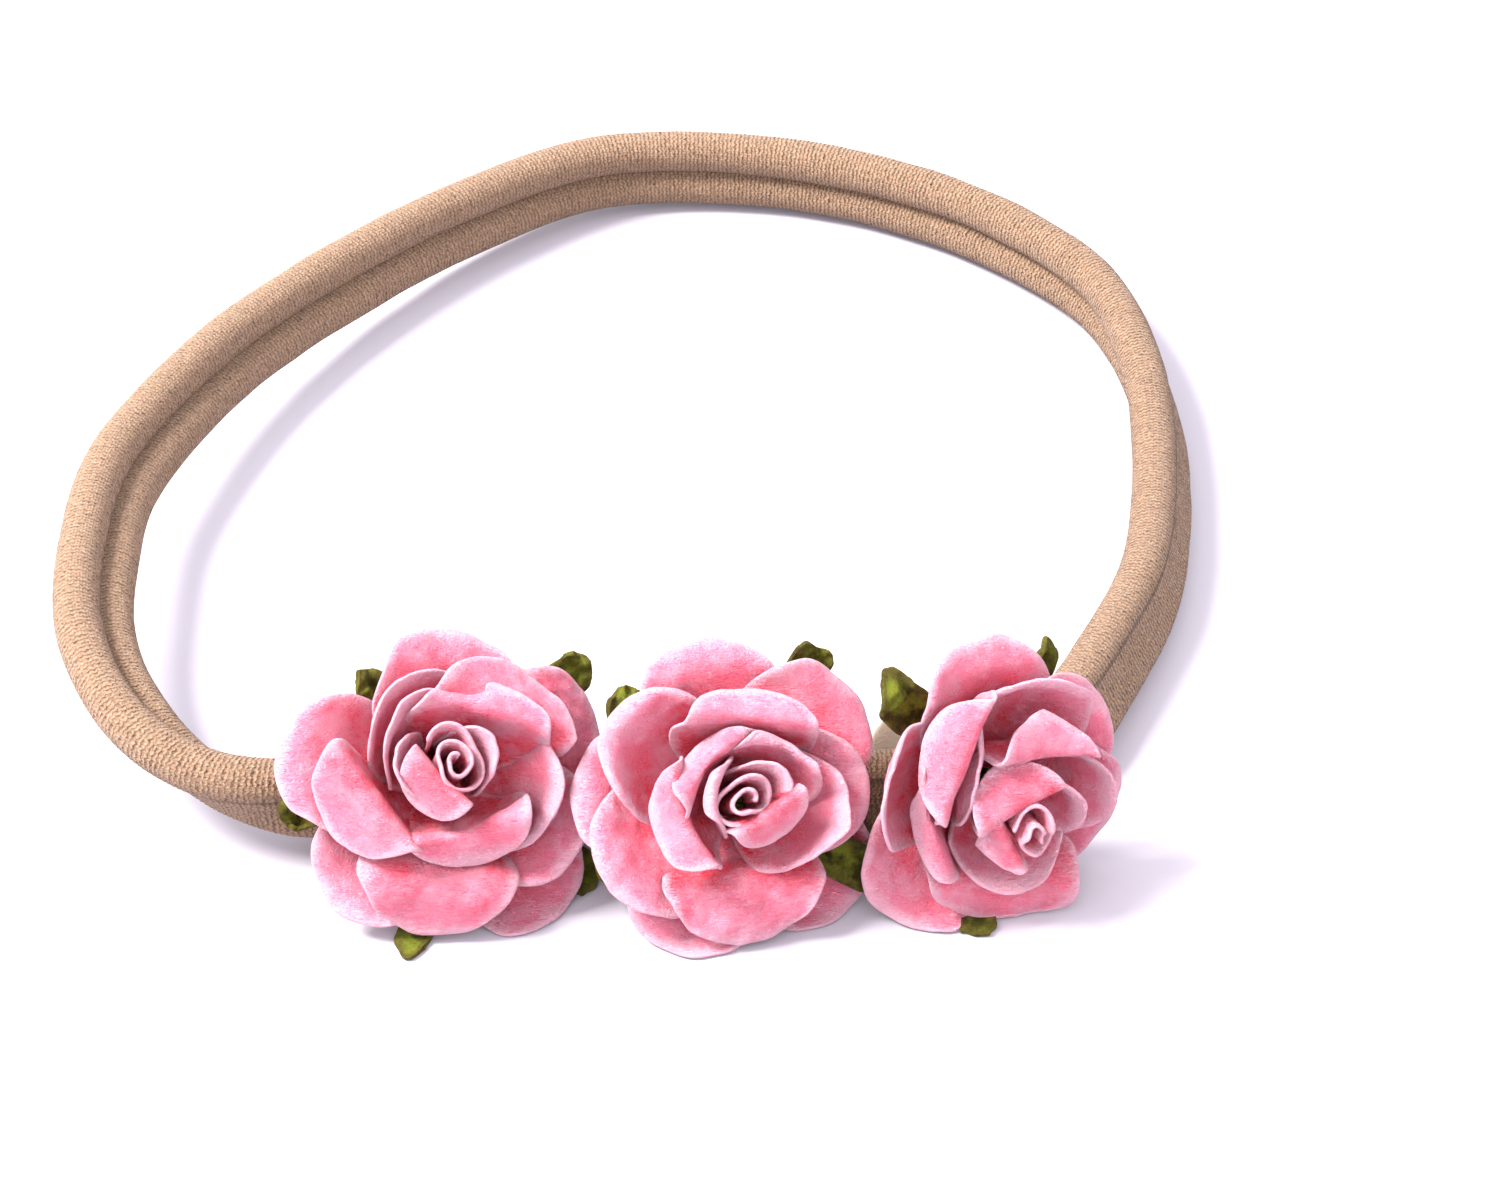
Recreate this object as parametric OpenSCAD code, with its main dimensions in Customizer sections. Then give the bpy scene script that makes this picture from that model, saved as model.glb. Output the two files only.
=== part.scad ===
// Flower crown: a rolled stretch-nylon head band carrying three paper roses.
// Each rose is a stack of die-cut paper layers threaded on a short paper-covered wire stem,
// set on a green calyx, bedded in hot glue on the band and backed by its own felt pad.

/* [Band] */
// Thickness of the rolled band, from its outer face to its inner face
band_thick = 4.4; // [3.6:0.1:5.0]
// Width of the rolled band, across both rolls
band_wide = 7.8; // [6.6:0.1:8.4]
// Depth of the crease between the two rolls
crease_deep = 1.3; // [0.4:0.1:1.6]
// Half the width of the crease
crease_wide = 0.9; // [0.6:0.1:1.4]

/* [Rose] */
// Radius of the outermost petal layer
rose_r = 13.0; // [12:0.25:13.5]
// Thickness of a mulberry-paper layer as modelled
paper = 0.5; // [0.4:0.05:0.7]
// Height of the bud above the base of the rose
bud_h = 9.5; // [8:0.25:10]
// Radius of the rolled bud
bud_r = 2.6; // [2.2:0.1:3.0]
// Radius of the paper-covered wire stem
stem_r = 0.8; // [0.6:0.05:1.0]
// Radial gap between the stem and the holes of the layers
stem_gap = 0.05; // [0.03:0.01:0.1]

/* [Fixing] */
// Radius of the glue under each rose
glue_r = 3.2; // [2.8:0.1:3.6]
// Length of a felt pad, along the band
felt_long = 13.5; // [12:0.5:15]
// Width of a felt pad, across the band
felt_wide = 10; // [9:0.2:10.2]
// Thickness of the felt
felt_thick = 1.2; // [0.8:0.1:1.6]
// How far a felt pad's middle sits above the band's middle, along the glued face
felt_lift = 2; // [1.9:0.1:2.3]
// Tilt of the glued faces above the horizontal, in degrees
face_tilt = 35; // [30:1:40]

/* [Hidden] */
ROSE_PARTS = ["bud", "inner_petals", "third_petals", "second_petals", "outer_petals", "calyx",
              "stem", "glue", "felt_pad"];
$fn = 48;

nylon_tan = [0.84, 0.67, 0.51];
petal_pink = [0.95, 0.53, 0.63];
leaf_green = [0.27, 0.36, 0.11];
felt_beige = [0.80, 0.68, 0.57];
glue_clear = [0.86, 0.83, 0.78];

// Route of the band's middle line, clockwise from behind the middle rose as seen from above:
// x, y, z and the lean of the section, in degrees inwards from upright at its lower roll.
route = [
    [8, -40, 4.6, -35], [0, -39.6, 4.6, -35], [-8, -39, 4.6, -35], [-16, -38.6, 4.6, -35],
    [-23, -39.6, 4.9, -30], [-30, -41.6, 5.8, 6], [-37, -39.8, 6.8, 34], [-43, -34.8, 8.2, 46],
    [-47.5, -26, 9.2, 46], [-49, -15.5, 9.5, 42], [-48, -1, 9, 38], [-41, 16, 7.8, 28],
    [-31, 30.5, 6.5, 22], [-19, 43, 5.5, 14], [-6, 51.9, 4.8, 6], [8, 53.3, 4.4, 2],
    [22, 50, 4.3, 0], [35, 42.5, 4.3, 2], [45, 31.5, 4.3, -4], [49, 18, 4.3, -16],
    [49.5, 4, 4.3, -24], [47.5, -11, 4.4, -24], [43, -22.5, 4.5, -28], [37, -33, 4.7, -33],
    [28, -39.5, 4.8, -35], [18, -40.4, 4.6, -35]];
// Rings of the band between two route points, and corners of its section
rings_per_span = 4;
section_sides = 20;

// Each rose: its place along the route (whole numbers are route points), how far its axis
// turns to the right of straight ahead and rises from level, in degrees, how far above the
// band's middle line it is glued, its bloom against rose_r, the turns of petals and sepals,
// and how far its felt pad stands off the band, which curves away from it at the ends.
left_seat = [3.12, 18, 42, 0.4, 1.06, 90, 85, 0];
middle_seat = [0, 12, 40, 0, 1, 101, 97, 0];
right_seat = [23.95, 20, 20, 2.2, 0.96, 90, 100, 1];
// Distance from the band's middle line to the base of a rose
seat_rise = 5;
glue_gap = 0.15;

// Places and directions along the route
function unit(v) = v / norm(v);
function route_at(i) = route[(i + len(route)) % len(route)];
// Catmull-Rom curve through the route; the fourth value, the lean, is blended the same way
function on_route(s) = let (i = floor(s), t = s - i,
    a = route_at(i - 1), b = route_at(i), c = route_at(i + 1), d = route_at(i + 2))
    0.5 * ((2 * b) + (c - a) * t + (2 * a - 5 * b + 4 * c - d) * t * t
        + (3 * b - a - 3 * c + d) * t * t * t);
function place(s) = let (p = on_route(s)) [p[0], p[1], p[2]];
function ahead(s) = unit(place(s + 0.02) - place(s - 0.02));
// The level direction out of the loop
function outward(s) = unit(cross([0, 0, 1], ahead(s)));

// The band's section, as depth outwards and width down the face, lofted along the route
function rounded(x, p) = sign(x) * pow(abs(x), p);
function section_point(k) = let (t = 360 * k / section_sides,
    across = band_wide / 2 * sin(t),
    deep = band_thick / 2 * rounded(cos(t), 0.75),
    crease = cos(t) < 0 ? crease_deep * exp(-pow(across / crease_wide, 2)) : 0)
    [deep + crease, across];
function section_at(s) = let (o = outward(s), lean = on_route(s)[3],
    down = [-o[0] * sin(lean), -o[1] * sin(lean), -cos(lean)],
    face = unit(cross(ahead(s), down)) * (cross(ahead(s), down) * o > 0 ? 1 : -1))
    [for (k = [0:section_sides - 1]) let (q = section_point(k)) place(s) + face * q[0] + down * q[1]];

module nylon_band() {
    rings = len(route) * rings_per_span;
    points = [for (i = [0:rings - 1]) each section_at(i / rings_per_span)];
    faces = [for (i = [0:rings - 1], k = [0:section_sides - 1]) let (
        a = i * section_sides, b = ((i + 1) % rings) * section_sides, n = (k + 1) % section_sides)
        [a + k, a + n, b + n, b + k]];
    color(nylon_tan) polyhedron(points, faces, convexity = 6);
}

// Normal of the glued face on the band, and the axis of the rose that sits on it
function face_normal(seat) = cos(face_tilt) * outward(seat[0]) + [0, 0, sin(face_tilt)];
function face_up(seat) = cos(face_tilt) * [0, 0, 1] - sin(face_tilt) * outward(seat[0]);
function face_middle(seat) = place(seat[0]) + seat[3] * face_up(seat);
function rose_base(seat) = face_middle(seat) + seat_rise * face_normal(seat);
function rose_axis(seat) = [sin(seat[1]) * cos(seat[2]), -cos(seat[1]) * cos(seat[2]), sin(seat[2])];

module frame(origin, axis) {
    right = unit(cross([0, 0, 1], axis));
    up = cross(axis, right);
    multmatrix([[right[0], up[0], axis[0], origin[0]],
                [right[1], up[1], axis[1], origin[1]],
                [right[2], up[2], axis[2], origin[2]],
                [0, 0, 0, 1]]) children();
}
module on_face(seat) frame(face_middle(seat), face_normal(seat)) children();
module on_rose(seat) frame(rose_base(seat), rose_axis(seat)) children();

// A bowl of paper: radius against height follows a power curve, flat at the hub
module bowl(hub, rim, rise, power, start) {
    steps = 7;
    upper = [for (i = [0:steps]) let (t = i / steps) [hub + (rim - hub) * t, start + rise * pow(t, power)]];
    lower = [for (i = [steps:-1:0]) [upper[i][0], upper[i][1] - paper]];
    rotate_extrude() polygon(concat(upper, lower));
}
// Round petals of a die-cut layer, seen along the axis
module petal_cut(count, reach, r, turn, tall) {
    linear_extrude(tall) union() {
        circle(r = reach * 0.62);
        for (k = [0:count - 1]) rotate(turn + 360 * k / count) translate([reach, 0]) circle(r = r);
    }
}
module petals(count, rim, rise, power, start, turn) {
    r = rim * sin(180 / count) * 0.78;
    intersection() {
        bowl(stem_r + stem_gap, rim, rise, power, start);
        translate([0, 0, -1]) petal_cut(count, rim - r, r, turn, 20);
    }
}
// A steep cup of petals, whose rim dips between them
module petal_cup(count, rim, rise, power, start, turn) {
    difference() {
        bowl(stem_r + stem_gap, rim, rise, power, start);
        for (k = [0:count - 1]) rotate(turn + 360 * k / count)
            translate([0, 0, start + rise + 0.5]) rotate([0, 90, 0]) cylinder(r = 1.7, h = 2 * rim);
    }
}

module outer_petals(seat) color(petal_pink) on_rose(seat)
    petals(5, rose_r * seat[4], 3.4, 1.8, 0.55, seat[5]);
module second_petals(seat) color(petal_pink) on_rose(seat)
    petals(5, rose_r * seat[4] - 2.0, 5.0, 1.6, 1.15, seat[5] + 36);
module third_petals(seat) color(petal_pink) on_rose(seat)
    petal_cup(4, rose_r - 4.8, 6.4, 1.9, 1.75, seat[5] + 15);
module inner_petals(seat) color(petal_pink) on_rose(seat)
    petal_cup(3, rose_r - 7.8, 6.9, 2.4, 2.35, seat[5] + 50);

// The bud is a paper strip rolled on the stem
module bud(seat) {
    turns = 2.4;
    steps = 48;
    bud_low = 3.2;
    start_r = stem_r + stem_gap;
    function spiral(i, extra) = let (a = 360 * turns * i / steps,
        r = start_r + (bud_r - start_r - paper) * i / steps + extra) [r * cos(a), r * sin(a)];
    color(petal_pink) on_rose(seat) translate([0, 0, bud_low])
        linear_extrude(bud_h - bud_low) polygon(concat(
            [for (i = [0:steps]) spiral(i, 0)], [for (i = [steps:-1:0]) spiral(i, paper * 0.75)]));
}

// Five pointed sepals of green paper
module calyx(seat) {
    wide = 4.2;
    reach = rose_r * seat[4] - 2;
    color(leaf_green) on_rose(seat) intersection() {
        bowl(stem_r + stem_gap, reach, 2.2, 2, 0);
        translate([0, 0, -1]) linear_extrude(6) union() {
            circle(r = 3.4);
            for (k = [0:4]) rotate(seat[6] + 36 + 72 * k)
                polygon([[0, -wide / 2], [reach * 0.6, -wide / 2], [reach, 0],
                         [reach * 0.6, wide / 2], [0, wide / 2]]);
        }
    }
}

module stem(seat) color(leaf_green) on_rose(seat)
    translate([0, 0, -1.2]) cylinder(r = stem_r, h = bud_h - 0.5);

// Hot glue between the band and the calyx, cut along the calyx's underside, bored for the stem
module glue(seat) color(glue_clear) difference() {
    on_face(seat) translate([0, 0, band_thick / 2 + glue_gap]) cylinder(r = glue_r, h = 4);
    on_rose(seat) translate([-20, -20, -paper]) cube([40, 40, 20]);
    on_rose(seat) translate([0, 0, -1.25]) cylinder(r = stem_r + stem_gap, h = 10);
}

// Oblong felt pad against the inner face of the band; one that stands off stays as high
module felt_pad(seat) color(felt_beige) on_face(seat)
    translate([0, felt_lift - seat[3] + seat[7] * tan(face_tilt),
               -band_thick / 2 - glue_gap - felt_thick - seat[7]])
    linear_extrude(felt_thick)
        union() {
            square([felt_long - felt_wide, felt_wide], center = true);
            for (side = [-1, 1]) translate([side * (felt_long - felt_wide) / 2, 0]) circle(d = felt_wide);
        }

module rose_part(part, seat) {
    if (part == "bud") bud(seat);
    if (part == "inner_petals") inner_petals(seat);
    if (part == "third_petals") third_petals(seat);
    if (part == "second_petals") second_petals(seat);
    if (part == "outer_petals") outer_petals(seat);
    if (part == "calyx") calyx(seat);
    if (part == "stem") stem(seat);
    if (part == "glue") glue(seat);
    if (part == "felt_pad") felt_pad(seat);
}

nylon_band();
for (p = ROSE_PARTS) {
    rose_part(p, left_seat);
    rose_part(p, middle_seat);
    rose_part(p, right_seat);
}
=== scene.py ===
import math
import bmesh
import bpy
import numpy as np
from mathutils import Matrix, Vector, noise


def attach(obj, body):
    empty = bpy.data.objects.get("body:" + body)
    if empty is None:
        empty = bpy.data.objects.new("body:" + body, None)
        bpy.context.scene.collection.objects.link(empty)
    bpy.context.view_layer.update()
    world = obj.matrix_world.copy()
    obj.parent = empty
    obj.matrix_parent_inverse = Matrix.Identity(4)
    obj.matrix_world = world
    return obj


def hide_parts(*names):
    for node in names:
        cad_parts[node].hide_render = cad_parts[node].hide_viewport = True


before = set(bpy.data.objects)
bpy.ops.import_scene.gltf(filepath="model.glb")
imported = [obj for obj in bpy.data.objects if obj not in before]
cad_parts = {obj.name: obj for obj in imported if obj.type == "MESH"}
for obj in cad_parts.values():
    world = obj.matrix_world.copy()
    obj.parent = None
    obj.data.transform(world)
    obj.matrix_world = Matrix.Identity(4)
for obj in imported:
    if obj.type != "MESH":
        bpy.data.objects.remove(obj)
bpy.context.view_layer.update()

mm = 0.001  # the dictionaries below are in millimetres and degrees
sides = ("left", "middle", "right")
noiseStep = (7.31, 3.17, 5.73)  # moves one seed's noise clear of the next

# camera
view = {"aim": (10.2, -10.1, 0), "elevation": 42, "distance": 345, "lens": 88.6, "sensor": 36}


def makeCamera():
    camera = bpy.data.objects.new("camera", bpy.data.cameras.new("camera"))
    bpy.context.scene.collection.objects.link(camera)
    rise = math.radians(view["elevation"])
    back = Vector((0, -math.cos(rise), math.sin(rise)))
    camera.location = (Vector(view["aim"]) + view["distance"] * back) * mm
    camera.rotation_euler = (math.radians(90 - view["elevation"]), 0, 0)
    camera.data.lens = view["lens"]
    camera.data.sensor_width = view["sensor"]
    camera.data.clip_start = 0.01
    bpy.context.scene.camera = camera


makeCamera()
print("camera set")


# small helpers for meshes
def smoothStep(x):
    x = np.clip(x, 0, 1)
    return x * x * (3 - 2 * x)


def unitRows(v):
    return v / np.linalg.norm(v, axis=-1, keepdims=True)


def endFans(last, columns, tip):
    # Triangles from the first ring to the point tip, and from the ring at last to the next point
    faces = []
    for j in range(columns):
        k = (j + 1) % columns
        faces += [(tip, k, j), (tip + 1, last + j, last + k)]
    return faces


def smoothCurve(a, b, c, d, t):
    # From b to c, with a before them and d after them
    return 0.5 * (2 * b + (c - a) * t + (2 * a - 5 * b + 4 * c - d) * t**2
                  + (3 * b - a - 3 * c + d) * t**3)


def lengthAlong(line):
    return np.concatenate([[0], np.cumsum(np.linalg.norm(np.diff(line, axis=0), axis=1))])


def meshObject(name, points, faces, fields=None):
    mesh = bpy.data.meshes.new(name)
    mesh.from_pydata([tuple(p) for p in np.asarray(points) * mm], [], faces)
    for field, values in (fields or {}).items():
        made = mesh.attributes.new(field, "FLOAT_VECTOR", "POINT")
        made.data.foreach_set("vector", np.asarray(values, dtype=np.float32).ravel())
    mesh.polygons.foreach_set("use_smooth", [True] * len(mesh.polygons))
    mesh.validate()
    piece = bpy.data.objects.new(name, mesh)
    bpy.context.scene.collection.objects.link(piece)
    return piece


def softenPiece(piece, levels):
    soft = piece.modifiers.new("softness", "SUBSURF")
    soft.levels = levels
    soft.render_levels = levels


def gridFaces(rows, columns, start=0, closed=False):
    faces = []
    for i in range(rows - 1):
        for j in range(columns if closed else columns - 1):
            k = (j + 1) % columns
            a = start + i * columns
            faces.append((a + j, a + k, a + columns + k, a + columns + j))
    return faces


def roughness3d(points, size, seed):
    # Noise between -1 and 1 at each point, with lumps of about the given size
    shift = Vector([seed * step for step in noiseStep])
    return np.array([noise.noise(Vector(p) / size + shift) for p in points])


def finishPiece(piece, slot, material, *nodes):
    piece.data.materials.clear()
    piece.data.materials.append(material)
    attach(piece, "root")
    if nodes:
        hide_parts(*nodes)


# nylon band: a knit strip rolled in from both edges
# x, y, z of the middle line and the lean of the section, clockwise from behind the middle rose
route = [
    (8, -40, 4.6, -35), (0, -39.6, 4.6, -35), (-8, -39, 4.6, -35), (-16, -38.6, 4.6, -35),
    (-23, -39.6, 4.9, -30), (-30, -41.6, 5.8, 6), (-37, -39.8, 6.8, 34), (-43, -34.8, 8.2, 46),
    (-47.5, -26, 9.2, 46), (-49, -15.5, 9.5, 42), (-48, -1, 9, 38), (-41, 16, 7.8, 28),
    (-31, 30.5, 6.5, 22), (-19, 43, 5.5, 14), (-6, 51.9, 4.8, 6), (8, 53.3, 4.4, 2),
    (22, 50, 4.3, 0), (35, 42.5, 4.3, 2), (45, 31.5, 4.3, -4), (49, 18, 4.3, -16),
    (49.5, 4, 4.3, -24), (47.5, -11, 4.4, -24), (43, -22.5, 4.5, -28), (37, -33, 4.7, -33),
    (28, -39.5, 4.8, -35), (18, -40.4, 4.6, -35)]
band = {
    "roll": 2.1,  # radius of each rolled edge
    "apart": 1.95,  # from the middle to the centre of each roll
    "dip": 0.12,  # hollow of the outer face
    "course": 0.44,  # spacing of the knit courses
    "courseHigh": 0.045,
    "courseRings": 3,  # mesh rings in a course
    "patchSize": 2.2,  # where the courses stand out more or less
    "lumps": 0.1,  # unevenness of the roll
    "lumpSize": 6.0,
    "flatStops": 10,  # points across the flat and round each roll
    "rollStops": 19,
}


def onRoute(s):
    points = np.array(route, dtype=float)
    s = np.atleast_1d(np.asarray(s, dtype=float))
    i = np.floor(s).astype(int)
    t = (s - i)[:, None]
    a, b, c, d = (points[(i + k) % len(route)] for k in (-1, 0, 1, 2))
    return smoothCurve(a, b, c, d, t)


def bandFrames(s):
    place = onRoute(s)
    near = 0.02
    ahead = unitRows(onRoute(s + near)[:, :3] - onRoute(s - near)[:, :3])
    outward = unitRows(np.cross([0, 0, 1], ahead))
    lean = np.radians(place[:, 3])[:, None]
    down = -outward * np.sin(lean) - np.array([0, 0, 1]) * np.cos(lean)
    face = unitRows(np.cross(ahead, down))
    face *= np.sign((face * outward).sum(1))[:, None]
    return place[:, :3], outward, face, down


def bandSection():
    # Depth outwards and width down the face, once round: flat outside, a crease inside
    r, c = band["roll"], band["apart"]
    outline = []
    for x in np.linspace(-c, c, band["flatStops"])[1:-1]:
        outline.append((r - band["dip"] * (1 - (x / c)**2), x))
    inner = 180 - math.degrees(math.acos(c / r))
    rollStart = len(outline)
    for a in np.linspace(90, -inner, band["rollStops"]):
        outline.append((r * math.sin(math.radians(a)), c + r * math.cos(math.radians(a))))
    for depth, across in reversed(outline[rollStart:-1]):
        outline.append((depth, -across))
    return np.array(outline)


def makeBand():
    s = np.linspace(0, len(route), 4000)
    gone = lengthAlong(onRoute(s)[:, :3])
    length = gone[-1]
    rings = round(length / band["course"]) * band["courseRings"]
    s = np.interp(np.arange(rings) / rings * length, gone, s)
    place, outward, face, down = bandFrames(s)
    section = bandSection()
    columns = len(section)
    tangent = np.roll(section, -1, 0) - np.roll(section, 1, 0)
    normal = unitRows(np.stack([tangent[:, 1], -tangent[:, 0]], 1))
    around = lengthAlong(section)
    points = place[:, None] + face[:, None] * section[None, :, :1] + down[:, None] * section[None, :, 1:]
    outwards = face[:, None] * normal[None, :, :1] + down[:, None] * normal[None, :, 1:]
    flat = points.reshape(-1, 3)
    course = np.cos(2 * math.pi * np.arange(rings) / band["courseRings"])[:, None] * np.ones(columns)
    patch = 0.75 + 0.5 * roughness3d(flat, band["patchSize"], 1).reshape(rings, columns)
    lumps = band["lumps"] * roughness3d(flat, band["lumpSize"], 2).reshape(rings, columns)
    points = points + outwards * (band["courseHigh"] * course * patch + lumps)[:, :, None]
    along = np.arange(rings)[:, None] / rings * length * np.ones(columns)
    field = np.stack([along, around[None] * np.ones((rings, 1)), 0 * along], 2)
    faces = gridFaces(rings, columns, closed=True)
    last = (rings - 1) * columns
    faces += [(last + j, last + (j + 1) % columns, (j + 1) % columns, j) for j in range(columns)]
    piece = meshObject("rolled_band", points.reshape(-1, 3), faces, {"knitPlace": field.reshape(-1, 3)})
    return piece, place, length


bandPiece, bandLine, bandLength = makeBand()
print("band rolled,", round(bandLength, 1), "mm round")


# shader node helpers
def fillSockets(tree, node, values):
    # Each input is linked where it is given a socket, or else set
    for socket, value in values.items():
        if isinstance(value, bpy.types.NodeSocket):
            tree.links.new(value, node.inputs[socket])
        else:
            node.inputs[socket].default_value = value


def addNode(tree, kind, values=None, **settings):
    made = tree.nodes.new(kind)
    for name, value in settings.items():
        setattr(made, name, value)
    fillSockets(tree, made, values or {})
    return made


def math2(tree, operation, a, b=0.0, clamp=False):
    return addNode(tree, "ShaderNodeMath", {0: a, 1: b}, operation=operation, use_clamp=clamp).outputs[0]


def plus(tree, a, b):
    return math2(tree, "ADD", a, b)


def minus(tree, a, b, clamp=False):
    return math2(tree, "SUBTRACT", a, b, clamp)


def times(tree, a, b):
    return math2(tree, "MULTIPLY", a, b)


def over(tree, a, b):
    return math2(tree, "DIVIDE", a, b)


def remap(tree, value, low, high, toLow=0.0, toHigh=1.0):
    values = {"Value": value, "From Min": low, "From Max": high, "To Min": toLow, "To Max": toHigh}
    return addNode(tree, "ShaderNodeMapRange", values, clamp=True).outputs["Result"]


def mixColour(tree, factor, a, b):
    values = {"Factor": factor, 6: a, 7: b}
    return addNode(tree, "ShaderNodeMix", values, data_type="RGBA").outputs[2]


def newGroup(name, inputs, outputs):
    group = bpy.data.node_groups.new(name, "ShaderNodeTree")
    for socket, kind, value in inputs:
        made = group.interface.new_socket(socket, in_out="INPUT", socket_type=kind)
        if value is not None:
            made.default_value = value
    for socket, kind in outputs:
        group.interface.new_socket(socket, in_out="OUTPUT", socket_type=kind)
    return group, group.nodes.new("NodeGroupInput").outputs, group.nodes.new("NodeGroupOutput").inputs


def objectInMm(tree):
    place = addNode(tree, "ShaderNodeTexCoord").outputs["Object"]
    values = {0: place, "Scale": 1 / mm}
    return addNode(tree, "ShaderNodeVectorMath", values, operation="SCALE").outputs[0]


def noiseOn(tree, vector, scale, detail=2.0, rough=0.5, distort=0.0):
    values = {"Vector": vector, "Scale": scale, "Detail": detail, "Roughness": rough, "Distortion": distort}
    return addNode(tree, "ShaderNodeTexNoise", values).outputs[0]


def offMiddle(tree, wave):
    # Creases where the noise crosses its middle value
    return math2(tree, "ABSOLUTE", minus(tree, wave, 0.5))


# Pressed fibres: fine grit, crossing strands, creases and soft clouds, sized in millimetres
weave = {
    "turns": ((0.2, 0.4, 0.9), (0.5, 1.3, 2.2), (1.5, 0.3, 0.1)),  # ways the strands lie
    "thin": (1, 6, 6),
    "strands": 0.5,  # share of each in the height
    "grit": 0.8,
    "folds": 1.2,
}


def makeFibreGroup():
    group, given, result = newGroup(
        "pressedFibres",
        [("Strand Length", "NodeSocketFloat", 2.0), ("Grit Size", "NodeSocketFloat", 0.2),
         ("Cloud Size", "NodeSocketFloat", 3.0), ("Seed", "NodeSocketFloat", 0.0)],
        [("Height", "NodeSocketFloat"), ("Strands", "NodeSocketFloat"), ("Clouds", "NodeSocketFloat")])
    away = addNode(group, "ShaderNodeCombineXYZ", {"X": times(group, given["Seed"], 37.0)})
    moved = {0: objectInMm(group), 1: away.outputs[0]}
    spot = addNode(group, "ShaderNodeVectorMath", moved, operation="ADD").outputs[0]
    perLength = over(group, 1.0, given["Strand Length"])
    strands = 0.0
    for turn in weave["turns"]:
        values = {"Vector": spot, "Rotation": turn, "Scale": weave["thin"]}
        laid = addNode(group, "ShaderNodeMapping", values)
        ridge = offMiddle(group, noiseOn(group, laid.outputs[0], perLength, 2.0, 0.5, 1.5))
        line = math2(group, "POWER", minus(group, 1.0, times(group, ridge, 4.0), True), 3.5)
        strands = math2(group, "MAXIMUM", line, strands)
    grit = noiseOn(group, spot, over(group, 1.0, given["Grit Size"]), 4.0, 0.6)
    clouds = noiseOn(group, spot, over(group, 1.0, given["Cloud Size"]), 3.0, 0.55)
    folds = offMiddle(group, noiseOn(group, spot, perLength, 1.0, 0.5, 0.6))
    high = plus(group, times(group, strands, weave["strands"]), times(group, grit, weave["grit"]))
    high = plus(group, high, times(group, folds, weave["folds"]))
    group.links.new(high, result["Height"])
    group.links.new(strands, result["Strands"])
    group.links.new(clouds, result["Clouds"])
    return group


# Knit courses: rings across the band broken into small loops
courses = {
    "zigzag": 0.12,  # how far each loop swings along the band
    "uneven": 0.7,
    "loops": 0.25,  # how much the loops break up the rings
    "ringHigh": 0.75,
    "fluffHigh": 0.9,
}


def makeKnitGroup():
    group, given, result = newGroup(
        "knitCourses",
        [("Along", "NodeSocketFloat", 0.0), ("Around", "NodeSocketFloat", 0.0),
         ("Course", "NodeSocketFloat", 0.62), ("Stitch", "NodeSocketFloat", 0.42)],
        [("Height", "NodeSocketFloat"), ("Groove Shade", "NodeSocketFloat"), ("Fluff", "NodeSocketFloat")])
    spot = objectInMm(group)
    fluff = noiseOn(group, spot, 4.0, 4.0, 0.7)
    uneven = noiseOn(group, spot, 1.3, 3.0, 0.6)
    phase = over(group, given["Around"], given["Stitch"])
    zigzag = math2(group, "PINGPONG", phase, 1.0)
    shifted = plus(group, given["Along"], times(group, zigzag, courses["zigzag"]))
    shifted = plus(group, shifted, times(group, uneven, courses["uneven"]))
    turn = times(group, over(group, shifted, given["Course"]), math.pi)
    course = math2(group, "ABSOLUTE", math2(group, "SINE", turn))
    loop = math2(group, "ABSOLUTE", math2(group, "SINE", times(group, phase, math.pi)))
    loop = plus(group, times(group, loop, courses["loops"]), 1 - courses["loops"])
    both = times(group, math2(group, "POWER", course, 0.6), loop)
    high = plus(group, times(group, both, courses["ringHigh"]), times(group, fluff, courses["fluffHigh"]))
    group.links.new(high, result["Height"])
    # painted shade: this output marks the grooves between courses, where the yarn colour is darkened
    group.links.new(minus(group, 1.0, both), result["Groove Shade"])
    group.links.new(fluff, result["Fluff"])
    return group


fibreGroup = makeFibreGroup()
knitGroup = makeKnitGroup()


def startMaterial(name):
    material = bpy.data.materials.new(name)
    material.use_nodes = True
    tree = material.node_tree
    return material, tree, tree.nodes["Principled BSDF"]


def place3(tree, name):
    field = addNode(tree, "ShaderNodeAttribute", attribute_name=name)
    return addNode(tree, "ShaderNodeSeparateXYZ", {0: field.outputs["Vector"]}).outputs


def groupIn(tree, group, values):
    made = tree.nodes.new("ShaderNodeGroup")
    made.node_tree = group
    fillSockets(tree, made, values)
    return made.outputs


def bumpInto(tree, shader, height, strength, depth):
    values = {"Height": height, "Strength": strength, "Distance": depth * mm}
    bump = addNode(tree, "ShaderNodeBump", values)
    tree.links.new(bump.outputs[0], shader.inputs["Normal"])
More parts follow.
